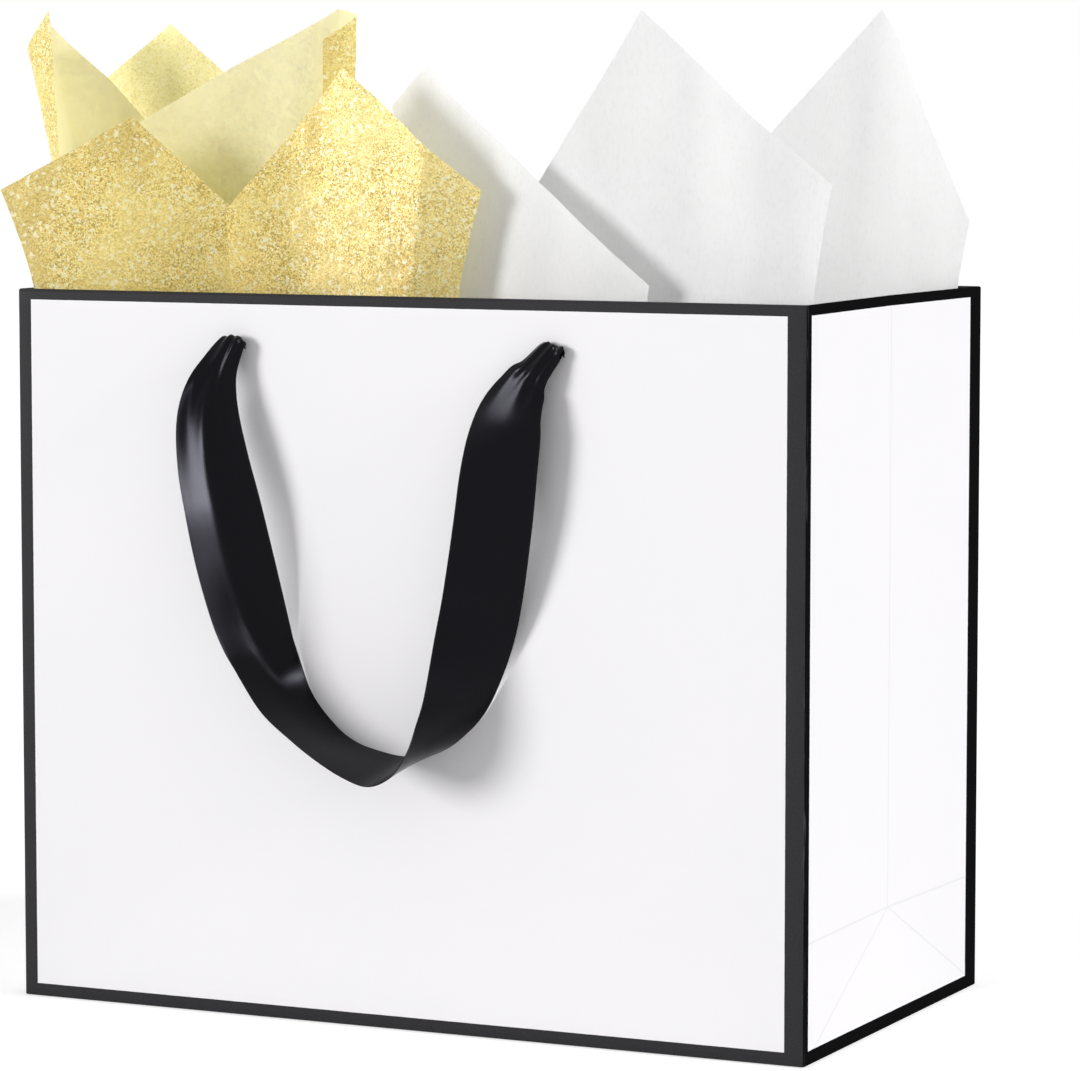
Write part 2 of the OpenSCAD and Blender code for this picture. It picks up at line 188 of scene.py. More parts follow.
def grid_piece(name, points, uv=None, closed=False, materials=()):
    """A piece whose vertices are a grid of points; closed joins the last column to the first."""
    rows, columns = points.shape[:2]
    index = np.arange(rows * columns).reshape(rows, columns)
    if closed:
        index = np.hstack([index, index[:, :1]])
    a, b = index[:-1, :-1].ravel(), index[:-1, 1:].ravel()
    c, d = index[1:, 1:].ravel(), index[1:, :-1].ravel()
    faces = np.stack([a, b, c, d], 1)
    mesh = bpy.data.meshes.new(name)
    mesh.from_pydata(points.reshape(-1, 3).tolist(), [], faces.tolist())
    if uv is not None:
        layer = mesh.uv_layers.new(name="flat")
        layer.data.foreach_set("uv", uv.reshape(-1, 2)[faces.ravel()].astype(np.float32).ravel())
    for material in materials:
        mesh.materials.append(material)
    mesh.shade_smooth()
    return placed(name, mesh)


def thicken(piece, thickness, offset=-1, reverse=0, edge=0, even=True):
    """Gives a sheet its thickness.

    reverse and edge are added to a face's material number on its reverse and cut edge."""
    solid = piece.modifiers.new("thickness", "SOLIDIFY")
    solid.thickness = thickness
    solid.offset = offset
    solid.use_even_offset = even
    solid.material_offset = reverse
    solid.material_offset_rim = edge


def apply_modifiers(piece):
    """Turns the modifiers of a piece into mesh."""
    graph = bpy.context.evaluated_depsgraph_get()
    mesh = bpy.data.meshes.new_from_object(piece.evaluated_get(graph))
    piece.modifiers.clear()
    piece.data = mesh


def settle(piece, sharp_angle=40):
    """Applies the modifiers of a piece, and keeps its folds over this angle sharp."""
    apply_modifiers(piece)
    work = bmesh.new()
    work.from_mesh(piece.data)
    for edge in work.edges:
        if len(edge.link_faces) == 2:
            edge.smooth = edge.calc_face_angle(0) < math.radians(sharp_angle)
    for face in work.faces:
        face.smooth = True
    work.to_mesh(piece.data)
    work.free()


def mesh_from(work, name):
    """The mesh of a finished bmesh."""
    mesh = bpy.data.meshes.new(name)
    work.to_mesh(mesh)
    work.free()
    return mesh


# ---------------------------------------------------------------- materials


class Finish:
    """A Principled material whose nodes are added one call at a time.

    A call takes outputs of nodes or plain values, and returns what its own node puts out."""

    def __init__(self, name, **uniform):
        self.material = bpy.data.materials.new(name)
        self.material.use_nodes = True
        self.tree = self.material.node_tree
        self.surface = self.tree.nodes["Principled BSDF"]
        for socket, value in uniform.items():
            self.surface.inputs[socket.replace("_", " ")].default_value = value

    def put(self, value, socket):
        """Links an output to a socket, or sets the socket to a plain value."""
        if isinstance(value, bpy.types.NodeSocket):
            self.tree.links.new(value, socket)
        else:
            socket.default_value = value

    def where(self, kind="Object"):
        """The place on the piece, in metres, or its place on the flat ribbon (UV)."""
        return self.tree.nodes.new("ShaderNodeTexCoord").outputs[kind]

    def axes(self, vector):
        """The three parts of a vector."""
        split = self.tree.nodes.new("ShaderNodeSeparateXYZ")
        self.put(vector, split.inputs[0])
        return split.outputs

    def math(self, operation, *values):
        """A sum, product or other operation on numbers, by Blender's name for it."""
        node = self.tree.nodes.new("ShaderNodeMath")
        node.operation = operation
        for value, socket in zip(values, node.inputs):
            self.put(value, socket)
        return node.outputs[0]

    def step(self, value, start, end):
        """0 up to start, 1 from end on, and smooth between them."""
        node = self.tree.nodes.new("ShaderNodeMapRange")
        node.interpolation_type = "SMOOTHSTEP"
        self.put(value, node.inputs["Value"])
        self.put(start, node.inputs["From Min"])
        self.put(end, node.inputs["From Max"])
        return node.outputs["Result"]

    def between(self, share, low, high):
        """A number from low to high, by a share from 0 to 1."""
        node = self.tree.nodes.new("ShaderNodeMapRange")
        for value, socket in ((share, "Value"), (low, "To Min"), (high, "To Max")):
            self.put(value, node.inputs[socket])
        return node.outputs["Result"]

    def scaled(self, vector, factors):
        """A vector times a factor for each axis, which stretches what is drawn by it."""
        node = self.tree.nodes.new("ShaderNodeMapping")
        self.put(vector, node.inputs["Vector"])
        node.inputs["Scale"].default_value = factors
        return node.outputs["Vector"]

    def noise(self, vector, size, detail=2.0, roughness=0.5):
        """Soft random numbers around 0.5, with features of this size in metres."""
        node = self.tree.nodes.new("ShaderNodeTexNoise")
        self.put(vector, node.inputs["Vector"])
        node.inputs["Scale"].default_value = 1 / size
        node.inputs["Detail"].default_value = detail
        node.inputs["Roughness"].default_value = roughness
        return node.outputs["Fac"]

    def cells(self, vector, size):
        """A random colour for each cell of this size in metres."""
        node = self.tree.nodes.new("ShaderNodeTexVoronoi")
        self.put(vector, node.inputs["Vector"])
        node.inputs["Scale"].default_value = 1 / size
        return node.outputs["Color"]

    def mix(self, share, low, high):
        """A colour from low to high, by a share from 0 to 1."""
        node = self.tree.nodes.new("ShaderNodeMix")
        node.data_type = "RGBA"
        self.put(share, node.inputs["Factor"])
        self.put(low, node.inputs[6])
        self.put(high, node.inputs[7])
        return node.outputs[2]

    def ramp(self, share, *stops):
        """A colour by a share from 0 to 1, through stops of (place, colour)."""
        node = self.tree.nodes.new("ShaderNodeValToRGB")
        self.put(share, node.inputs[0])
        elements = node.color_ramp.elements
        for element, (place, colour) in zip(elements, stops):
            element.position, element.color = place, colour
        for place, colour in stops[2:]:
            elements.new(place).color = colour
        return node.outputs["Color"]

    def colour(self, value):
        self.put(value, self.surface.inputs["Base Color"])

    def rough(self, value):
        self.put(value, self.surface.inputs["Roughness"])

    def bump(self, height, depth):
        """Relief of this depth in metres, from a height that runs from 0 to 1."""
        node = self.tree.nodes.new("ShaderNodeBump")
        node.inputs["Distance"].default_value = depth
        self.put(height, node.inputs["Height"])
        self.put(node.outputs["Normal"], self.surface.inputs["Normal"])


def rgb(red, green, blue):
    """The colour of a screen value from 0 to 255, by the sRGB curve."""
    linear = [((c / 255 + 0.055) / 1.055) ** 2.4 if c > 10 else c / 3294
              for c in (red, green, blue)]
    return (*linear, 1)


def grey(value):
    """A grey by its screen value."""
    return rgb(value, value, value)


def crease_shade_mask(finish, y, z):
    """Share from 0 to 1 that marks the creases of a gusset, upright, level and slanting, where painted
    shade darkens the white.
    """
    side = finish.math("ABSOLUTE", y)
    above = finish.math("GREATER_THAN", z, CREASE_H)
    centre = finish.math("ADD", side, finish.math("SUBTRACT", 1.0, above))
    level = finish.math("ABSOLUTE", finish.math("SUBTRACT", z, CREASE_H))
    length = math.hypot(HALF_D, CREASE_H)
    rise = finish.math("MULTIPLY", side, CREASE_H / length)
    run = finish.math("MULTIPLY", finish.math("SUBTRACT", z, CREASE_H), HALF_D / length)
    slant = finish.math("ABSOLUTE", finish.math("ADD", rise, run))
    near = finish.math("MINIMUM", centre, finish.math("MINIMUM", level, slant))
    return finish.step(near, 0.5 * MM, 0.15 * MM)


def printed_card(name, black, specular, borders, painted_crease_shade):
    """White card with a black printed border along each edge of a face, worn at the folds.

    borders are its widths at the -X, +X, -Y and +Y edges, the top and the bottom."""
    finish = Finish(name, Specular_IOR_Level=specular, Coat_Weight=0.0)
    place = finish.where()
    x, y, z = finish.axes(place)

    # The edge of the ink wavers a little.
    waver = finish.math("SUBTRACT", finish.noise(place, 3 * MM), 0.5)
    wobble = finish.math("MULTIPLY", waver, 0.12 * MM)

    def past(value, edge):
        """1 where a distance from the middle is past an edge."""
        gone = finish.math("ADD", finish.math("SUBTRACT", value, edge), wobble)
        return finish.step(gone, -0.03 * MM, 0.03 * MM)

    def past_either(value, low, high):
        """1 where a distance from the middle is past either edge."""
        mirrored = finish.math("MULTIPLY", value, -1.0)
        return finish.math("MAXIMUM", past(mirrored, low), past(value, high))

    left, right, front, rear, top, bottom = borders
    upright = finish.math("MINIMUM", past_either(x, HALF_W - left, HALF_W - right),
                          past_either(y, HALF_D - front, HALF_D - rear))
    level = past_either(z, -bottom, HEIGHT - top)
    inked = finish.math("MAXIMUM", upright, level)

    mottle = finish.noise(place, 60 * MM, 3)
    white = finish.mix(mottle, rgb(247, 246, 249), rgb(250, 248, 250))
    if painted_crease_shade:
        # Painted shade: on a gusset the white darkens along its creases.
        white = finish.mix(crease_shade_mask(finish, y, z), white, rgb(238, 238, 240))
    dust = finish.noise(place, 0.5 * MM, 4, 0.7)
    ink = finish.mix(finish.step(dust, 0.45, 0.75), black, tuple(min(1, c * 1.5) for c in black))

    # The ink is scuffed along the upright folds.
    folds = [finish.step(finish.math("ABSOLUTE", value), half - FOLD_R, half - 0.2 * MM)
             for value, half in ((x, HALF_W), (y, HALF_D))]
    corner = finish.math("MULTIPLY", *folds)
    scuff = finish.step(finish.noise(finish.scaled(place, (1, 1, 0.08)), 1.2 * MM, 4), 0.5, 0.7)
    ink = finish.mix(finish.math("MULTIPLY", corner, scuff), ink, rgb(74, 74, 76))

    finish.colour(finish.mix(inked, white, ink))
    fibre = finish.noise(place, 0.9 * MM, 5, 0.6)
    finish.rough(finish.between(fibre, 0.34, 0.44))
    finish.bump(fibre, 0.006 * MM)
    return finish.material


def plain_card(name, tone):
    """The unprinted side of the card: white board with a faint fibre."""
    finish = Finish(name, Specular_IOR_Level=0.3)
    place = finish.where()
    fibre = finish.noise(finish.scaled(place, (1, 1, 3)), 0.8 * MM, 5, 0.65)
    flecks = finish.noise(place, 12 * MM, 3)
    shade = finish.mix(flecks, rgb(*tone), rgb(*(c - 6 for c in tone)))
    finish.colour(finish.mix(finish.step(fibre, 0.3, 0.8), shade, rgb(*(c - 16 for c in tone))))
    finish.rough(0.75)
    finish.bump(fibre, 0.03 * MM)
    return finish.material


def grey_board(name):
    """Pressed board for the stiffeners and the base: pale grey pulp with dark flecks."""
    finish = Finish(name, Specular_IOR_Level=0.25)
    place = finish.where()
    pulp = finish.noise(place, 1.5 * MM, 6, 0.7)
    fleck = finish.step(finish.noise(place, 0.6 * MM, 2), 0.66, 0.74)
    body = finish.mix(pulp, rgb(214, 206, 192), rgb(232, 226, 214))
    finish.colour(finish.mix(fleck, body, rgb(150, 140, 126)))
    finish.rough(0.85)
    finish.bump(pulp, 0.05 * MM)
    return finish.material


RIB_PITCH = 0.45 * MM
TWILL_PITCH = 0.6 * MM
WOVEN_EDGE = 0.9 * MM


def satin(name):
    """Black satin ribbon: fine ribs across it, and a firmer woven edge."""
    finish = Finish(name, IOR=1.22, Specular_Tint=(0.84, 0.83, 1.0, 1),
                    Anisotropic=0.7, Anisotropic_Rotation=0.25)
    flat = finish.where("UV")
    tangent = finish.tree.nodes.new("ShaderNodeTangent")
    tangent.direction_type = "UV_MAP"
    finish.put(tangent.outputs[0], finish.surface.inputs["Tangent"])
    across, along, _ = finish.axes(flat)
    rib = finish.math("SINE", finish.math("MULTIPLY", along, 2 * math.pi / RIB_PITCH))
    thread = finish.noise(finish.scaled(flat, (1, 9, 1)), 0.9 * MM, 4, 0.6)
    edge = finish.step(finish.math("ABSOLUTE", across),
                       RIBBON_W / 2 - WOVEN_EDGE, RIBBON_W / 2 - 0.5 * MM)
    slant = finish.math("ADD", along, across)
    twill = finish.math("SINE", finish.math("MULTIPLY", slant, 2 * math.pi / TWILL_PITCH))
    weave = finish.math("ADD", finish.math("MULTIPLY", finish.between(edge, 0.12, 0.0), rib),
                        finish.math("MULTIPLY", finish.between(edge, 0.0, 0.3), twill))
    relief = finish.math("ADD", weave, finish.math("MULTIPLY", thread, 0.8))
    body = finish.mix(thread, rgb(2, 2, 3), rgb(9, 9, 12))
    finish.colour(finish.mix(edge, body, rgb(12, 12, 14)))
    finish.rough(finish.between(thread, 0.20, 0.25))
    finish.bump(relief, 0.012 * MM)
    return finish.material


def glitter_gold(name, tones, pale):
    """Gold glitter: flakes of many golds, each tilted its own way, with soft patches of painted light
    and shade and a few painted glints.

    tones starts with its darkest and its brightest flakes, then come those between them in order. Soft
    patches are drawn towards pale as painted light, and others towards the first of those between as
    painted shade. A few coarse cells are drawn towards the brightest as painted glints."""
    finish = Finish(name, Metallic=0.2, Specular_IOR_Level=0.4)
    place = finish.where()
    fine, coarse = finish.cells(place, 0.45 * MM), finish.cells(place, 1.1 * MM)
    pick, tilt_x, tilt_y = finish.axes(fine)
    painted_glint_pick = finish.axes(coarse)[0]
    brightest, deep_gold = (rgb(*tone) for tone in tones[1:3])
    places = (0.0, 1.0, 0.14, 0.40, 0.68, 0.88)
    body = finish.ramp(pick, *((at, rgb(*tone)) for at, tone in zip(places, tones)))
    # Painted light: soft patches drawn towards pale. Painted shade: patches drawn towards deep gold.
    cloud = finish.step(finish.noise(place, 20 * MM, 3, 0.6), 0.36, 0.66)
    soft = finish.mix(finish.between(cloud, 0.0, 0.5), body, rgb(*pale))
    painted_shade_patch = finish.step(finish.noise(finish.scaled(place, (1, 1, 0.5)), 28 * MM, 2), 0.52, 0.72)
    toned = finish.mix(finish.between(painted_shade_patch, 0.0, 0.45), soft, deep_gold)
    # Painted glints: a few coarse cells drawn towards the brightest tone.
    painted_glint = finish.between(finish.step(painted_glint_pick, 0.88, 0.95), 0, 0.65)
    finish.colour(finish.mix(painted_glint, toned, brightest))
    finish.rough(finish.between(tilt_x, 0.28, 0.55))
    finish.bump(finish.math("ADD", tilt_y, finish.noise(place, 0.3 * MM, 1)), 0.06 * MM)
    show_through(finish, rgb(255, 252, 214), 0.42)
    return finish.material


def show_through(finish, tone, share):
    """Lets this share of the light come through a thin sheet from behind."""
    through = finish.tree.nodes.new("ShaderNodeBsdfTranslucent")
    finish.put(tone, through.inputs["Color"])
    both = finish.tree.nodes.new("ShaderNodeMixShader")
    both.inputs[0].default_value = share
    output = finish.tree.nodes["Material Output"]
    finish.put(finish.surface.outputs[0], both.inputs[1])
    finish.put(through.outputs[0], both.inputs[2])
    finish.put(both.outputs[0], output.inputs["Surface"])


def pale_gold(name):
    """The matte reverse of the gold sheet: pale yellow with a few flakes that show through."""
    finish = Finish(name, Specular_IOR_Level=0.3)
    place = finish.where()
    cloud = finish.noise(place, 25 * MM, 4, 0.6)
    grain = finish.noise(place, 0.7 * MM, 3, 0.7)
    body = finish.mix(cloud, rgb(255, 255, 222), rgb(255, 255, 230))
    tone = finish.mix(finish.step(grain, 0.5, 0.8), body, rgb(255, 251, 200))
    finish.colour(tone)
    finish.rough(finish.between(grain, 0.45, 0.65))
    finish.bump(grain, 0.02 * MM)
    show_through(finish, tone, 0.5)
    return finish.material


def white_tissue(name, brightness):
    """Thin white tissue of a screen value: fine fibres, and light that comes through."""
    finish = Finish(name, Specular_IOR_Level=0.25)
    place = finish.where()
    fibre = finish.noise(finish.scaled(place, (1, 1, 0.35)), 0.8 * MM, 5, 0.65)
    cloud = finish.noise(place, 18 * MM, 4, 0.6)
    body = finish.mix(cloud, grey(brightness - 4), grey(brightness))
    tone = finish.mix(finish.step(fibre, 0.45, 0.8), body, grey(brightness - 10))
    finish.colour(tone)
    finish.rough(0.7)
    finish.bump(fibre, 0.02 * MM)
    show_through(finish, tone, 0.45)
    return finish.material


def floor_white(name, tone, lift):
    """White floor that keeps shadows; lift brightens what is seen of it, and lights nothing."""
    finish = Finish(name, Specular_IOR_Level=0.0)
    finish.colour((tone, tone, tone, 1))
    finish.rough(1.0)
    finish.surface.inputs["Emission Color"].default_value = (1, 1, 1, 1)
    glow = finish.between(seen_directly(finish.tree), 0.0, lift)
    finish.put(glow, finish.surface.inputs["Emission Strength"])
    return finish.material


# Widths of the borders, in the order that printed_card takes them.
FRONT_BORDERS = [w * MM for w in (5.1, 6.6, 3.6, 10.0, 3.5, 4.2)]
SIDE_BORDERS = [w * MM for w in (5.1, 6.6, 3.6, 10.0, 3.3, 4.4)]
# The front's black is lighter than the gussets' as painted sheen: it is the same ink, shown catching
# more light on the front.
CARD_FRONT = printed_card("printed_card_front", rgb(50, 49, 51), specular=0.05,
                          borders=FRONT_BORDERS, painted_crease_shade=False)
CARD_SIDE = printed_card("printed_card_side", rgb(18, 18, 19), specular=0.0,
                         borders=SIDE_BORDERS, painted_crease_shade=True)
CARD_INSIDE = plain_card("card_inside", (240, 240, 241))
CARD_EDGE = plain_card("card_edge", (226, 225, 222))
BOARD = grey_board("grey_board")
SATIN = satin("black_satin")
GLITTER = glitter_gold("gold_glitter", (
    (112, 72, 4), (255, 255, 244), (166, 124, 36), (226, 188, 96), (248, 218, 134),
    (255, 243, 186)), pale=(251, 228, 156))
PALE_GLITTER = glitter_gold("pale_gold_glitter", (
    (205, 178, 96), (255, 252, 225), (226, 206, 132), (243, 229, 164), (248, 237, 178),
    (252, 244, 192)), pale=(249, 240, 186))
GOLD_BACK = pale_gold("gold_reverse")
TISSUE = white_tissue("white_tissue_paper", brightness=253)
# The middle sheet's tissue is the same white tissue painted 6 levels darker: painted shade.
SHADED_TISSUE = white_tissue("shaded_tissue_paper", brightness=247)

# ---------------------------------------------------------------- the folded card

# Steps across each part of a ring, rows of rings, and the rounds along the base and in the
# corners of the hem.
FRONT_STEPS = 56
CORNER_STEPS = 7
SIDE_STEPS = 40
COLUMNS = 2 * (FRONT_STEPS + SIDE_STEPS + 2 * CORNER_STEPS)
BASE_ROWS = 4
WALL_ROWS = 52
RIM_ROWS = 8
HEM_ROWS = 8
BASE_EDGE_R = 0.4 * MM
INNER_CORNER_R = 0.2 * MM


def card_ring(level, inset_front, inset_side, radius, height_front, height_side):
    """One closed ring of the card, with its insets and heights on the panels and gussets.

    level is its height as a share of the wall, and radius is that of its corners."""
    half_w, half_d = HALF_W - inset_side, HALF_D - inset_front
    ring = []
    straight_x, straight_y = half_w - radius, half_d - radius
    for turn in (1, -1):
        for k in range(FRONT_STEPS):
            x = straight_x * (2 * k / FRONT_STEPS - 1)
            bow = PANEL_BOW * (1 - (x / half_w) ** 2) * math.sin(math.pi * level)
            ring.append((turn * x, -turn * (half_d + bow), height_front))
        for k in range(CORNER_STEPS):
            share = k / CORNER_STEPS
            angle = math.pi / 2 * share
            height = height_front + (height_side - height_front) * share
            ring.append((turn * (straight_x + radius * math.sin(angle)),
                         -turn * (straight_y + radius * math.cos(angle)), height))
        for k in range(SIDE_STEPS):
            y = straight_y * (2 * k / SIDE_STEPS - 1)
            valley = max(0, 1 - abs(y) / HALF_D)
            tucked = TUCK * min(valley, max(0, height_side) / CREASE_H)
            ring.append((turn * (half_w - tucked), turn * y, height_side))
        for k in range(CORNER_STEPS):
            share = k / CORNER_STEPS
            angle = math.pi / 2 * share
            height = height_side + (height_front - height_side) * share
            ring.append((turn * (straight_x + radius * math.cos(angle)),
                         turn * (straight_y + radius * math.sin(angle)), height))
    return ring


def card_shell():
    """The bag's walls and turned-in hem, as one folded sheet with its printed face outside."""
    rings = []
    for k in range(BASE_ROWS):
        angle = math.pi / 2 * k / BASE_ROWS
        inset = BASE_EDGE_R * (1 - math.sin(angle))
        height = BASE_EDGE_R * (1 - math.cos(angle))
        rings.append(card_ring(0, inset, inset, FOLD_R - inset, height, height))
    front_top, side_top = HEIGHT - RIM_R, HEIGHT - SIDE_RIM_R
    for k in range(WALL_ROWS + 1):
        share = k / WALL_ROWS
        rings.append(card_ring(share, 0, 0, FOLD_R,
                               BASE_EDGE_R + (front_top - BASE_EDGE_R) * share,
                               BASE_EDGE_R + (side_top - BASE_EDGE_R) * share))
    for k in range(1, RIM_ROWS + 1):
        angle = math.pi * k / RIM_ROWS
        over = (1 - math.cos(angle)) / 2
        rings.append(card_ring(
            1, 2 * RIM_R * over, 2 * SIDE_RIM_R * over,
            FOLD_R + (INNER_CORNER_R - FOLD_R) * over,
            front_top + RIM_R * math.sin(angle), side_top + SIDE_RIM_R * math.sin(angle)))
    hem_foot = HEIGHT - HEM_H
    for k in range(1, HEM_ROWS + 1):
        share = k / HEM_ROWS
        rings.append(card_ring(1, 2 * RIM_R, 2 * SIDE_RIM_R, INNER_CORNER_R,
                               front_top + (hem_foot - front_top) * share,
                               side_top + (hem_foot - side_top) * share))
    shell = grid_piece("folded_card_bag", np.array(rings), closed=True,
                       materials=(CARD_FRONT, CARD_SIDE, CARD_INSIDE, CARD_INSIDE, CARD_EDGE))
    half = COLUMNS // 2
    part_corner = CORNER_STEPS // 2
    for face in shell.data.polygons:
        column = face.index % COLUMNS % half
        on_panel = column < FRONT_STEPS + part_corner or column >= half - part_corner
        face.material_index = 0 if on_panel else 1
    thicken(shell, SHEET_T, reverse=2, edge=3)
    punch_holes(shell)
    settle(shell)
    return shell


def punch_holes(shell):
    """Cuts the two ribbon holes of each handle through the card."""
    work = bmesh.new()
    turn = Euler((math.pi / 2, 0, 0)).to_matrix()
    for x in (-HOLE_X, HOLE_X):
        for wall in (-1, 1):
            made = bmesh.ops.create_cone(work, cap_ends=True, segments=48,
                                         radius1=HOLE_R, radius2=HOLE_R, depth=HALF_D)
            middle = Vector((x + wall * HOLE_SHIFT, wall * HALF_D, HOLE_Z))
            for vertex in made["verts"]:
                vertex.co = turn @ vertex.co + middle
    punch = placed("hole_punch", mesh_from(work, "hole_punch"))
    cut = shell.modifiers.new("holes", "BOOLEAN")
    cut.operation = "DIFFERENCE"
    cut.solver = "EXACT"
    cut.object = punch
    apply_modifiers(shell)
    bpy.data.objects.remove(punch)


shell = card_shell()
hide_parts("front_panel", "back_panel", "left_gusset", "right_gusset",
            "front_hem", "back_hem", "left_hem", "right_hem")
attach(shell, "root")

# ---------------------------------------------------------------- ribbon handles

# One loop, from its left hole to its right one. Each row is one place along the ribbon,
# given at its edge beside the panel: sideways place as a share of HOLE_X, fall as a share
# of LOOP_DROP, distance from the panel in LOOP_GAPs, heading of the width away from the
# panel (degrees towards -X), its tilt, the share of RIBBON_W that is spread out, and in
# degrees how far its cross-section bows inwards and how far its outer edge curls inwards.
LOOP = [
    (-0.935, -0.008, 1.0, 86, -8, 0.33, 45, 0),
    (-0.965, 0.045, 1.5, 86, -7, 0.47, 30, 18),
    (-0.965, 0.09, 1.9, 83, 4, 0.585, 12, 48),
    (-0.935, 0.153, 2.3, 81, 13, 0.715, 0, 54),
    (-0.865, 0.25, 2.6, 75, 15, 0.85, -2, 46),
    (-0.795, 0.35, 2.5, 66, 14, 0.945, -2, 36),
    (-0.735, 0.46, 2.1, 61, 13, 0.99, -2, 31),
    (-0.687, 0.576, 1.3, 55, 13, 0.99, -1, 28),
    (-0.663, 0.64, 0.8, 48, 13, 0.975, 0, 23),
    (-0.633, 0.697, 0.45, 39, 13, 0.94, 0, 16),
    (-0.54, 0.80, 0.2, 22, 10, 0.92, 1, 7),
    (-0.395, 0.87, 0.15, 8, 7, 0.965, 3, 3),
    (-0.26, 0.906, 0.15, 2, 8, 0.985, 3, 0),
    (-0.10, 0.924, 0.15, 2, 13, 0.99, 2, 0),
    (0.04, 0.932, 0.15, 1, 15, 1, 0, 0),
    (0.175, 0.928, 0.15, 0, 8, 1, 0, 0),
    (0.315, 0.904, 0.15, 5, -2.5, 1, -3, 0),
    (0.445, 0.864, 0.18, 15, -12, 1, -5, 0),
    (0.565, 0.81, 0.25, 28, -15, 1, -6, 0),
    (0.662, 0.738, 0.5, 41, -14, 1, -6, 0),
    (0.77, 0.632, 1.1, 60, -14, 1, -6, 0),
    (0.84, 0.53, 1.8, 64, -8, 1, -7, 0),
    (0.905, 0.39, 2.4, 66, -6, 0.985, -9, 0),
    (0.945, 0.256, 2.6, 78, -6, 0.975, -10, 0),
    (0.965, 0.154, 2.4, 93, -4, 0.95, -12, 0),
    (0.98, 0.08, 1.8, 93, -6, 0.67, -20, 0),
    (0.99, 0.045, 1.5, 88, -10, 0.44, -34, 0),
    (1.05, -0.003, 0.6, 84, -12, 0.33, -50, 0),
]

# Samples from row to row, and points across.
LOOP_STEPS = 7
RIBBON_COLUMNS = 45

# The pleats of a bunched ribbon, and how far they turn, in radians.
PLEATS = 3
PLEAT_TURN = 1.3

# The part of the width that curls: places across it, from -1 beside the panel to 1.
CURL_FROM = -0.4
CURL_TO = 0.4

# The neck of a loop in its hole, from the inside out: distance behind the panel's face and
# height above the hole. It has this share of the width and this bow in degrees, and no
# smooth run between rows makes a ribbon narrower than the last share.
NECK = [(2 * RIM_R + 1.5 * MM, -1.0 * MM), (0.5 * MM, -0.9 * MM), (-1.5 * MM, -0.2 * MM)]
NECK_SHARE = 0.26
NECK_BOW = 50
NARROWEST = 0.18


def width_direction(row):
    """Which way the width of a loop runs, from the edge beside the panel outwards."""
    heading, tilt = math.radians(row[3]), math.radians(row[4])
    level = math.cos(tilt)
    return (-math.sin(heading) * level, -math.cos(heading) * level, -math.sin(tilt))


def loop_rows():
    """Middle, width direction, width share, bow and curl of a loop, with a neck at either end."""
    edge = np.array([(row[0] * HOLE_X, -HALF_D - row[2] * LOOP_GAP, HOLE_Z - row[1] * LOOP_DROP)
                     for row in LOOP])
    across = np.array([width_direction(row) for row in LOOP])
    shape = np.array([row[5:] for row in LOOP])
    middle = edge + across * shape[:, :1] * RIBBON_W / 2
    left = [(-HOLE_X - HOLE_SHIFT, -HALF_D + y, HOLE_Z + z) for y, z in NECK]
    right = [(HOLE_X - HOLE_SHIFT, -HALF_D + y, HOLE_Z + z) for y, z in reversed(NECK)]
    sideways = [(-1.0, 0.0, 0.0)] * len(NECK)
    left_shape, right_shape = ([(NECK_SHARE, bow, 0)] * len(NECK) for bow in (NECK_BOW, -NECK_BOW))
    return (np.vstack([left, middle, right]), np.vstack([sideways, across, sideways]),
            np.vstack([left_shape, shape, right_shape]))


def sections(shape):
    """Cross-sections of a ribbon: how far each point is along the chord and out from it.

    Each row of shape is a share of the width, a bow, and a curl of its outer part, in
    degrees. A ribbon with less room than its width is pleated."""
    share, bow, curl = shape[:, 0:1], np.radians(shape[:, 1:2]), np.radians(shape[:, 2:3])
    place = np.linspace(-1, 1, RIBBON_COLUMNS)
    last = np.clip((place - CURL_FROM) / (CURL_TO - CURL_FROM), 0, 1)
    pleat = np.sin(place * math.pi * PLEATS) * (1 - place**4) * PLEAT_TURN
    angle = -bow * place + curl * (last**2 * (3 - 2 * last)) + (1 - share) ** 2 * pleat
    steps = np.exp(1j * (angle[:, 1:] + angle[:, :-1]) / 2)
    run = np.concatenate([np.zeros((len(share), 1)), np.cumsum(steps, 1)], 1)
    run = run / run.real[:, -1:] * (share * RIBBON_W)
    return run.real - share * RIBBON_W / 2, run.imag


def ribbon(name, middle, across, shape, steps):
    """A ribbon along a path, with the cross-sections of sections()."""
    path = smooth(middle, steps)
    wide = unit(smooth(across, steps))
    shape = smooth(shape, steps)
    shape[:, 0] = np.clip(shape[:, 0], NARROWEST, 1)
    along = unit(np.gradient(path, axis=0))
    wide = unit(wide - along * np.sum(wide * along, 1, keepdims=True))
    out = np.cross(wide, along)
    sideways, bow = sections(shape)
    points = path[:, None] + wide[:, None] * sideways[:, :, None] + out[:, None] * bow[:, :, None]
    travel = np.concatenate([[0], np.cumsum(np.linalg.norm(np.diff(path, axis=0), axis=1))])
    flat = np.linspace(-RIBBON_W / 2, RIBBON_W / 2, RIBBON_COLUMNS)
    uv = np.stack(np.broadcast_arrays(flat[None, :], travel[:, None]), 2)
    piece = grid_piece(name, points, uv=uv, materials=(SATIN,))
    thicken(piece, RIBBON_T, offset=0, even=False)
    settle(piece, sharp_angle=60)
    return piece


def turned(piece):
    """Turns a piece half round the bag, from the front to the back."""
    piece.data.transform(Euler((0, 0, math.pi)).to_matrix().to_4x4())
    return piece


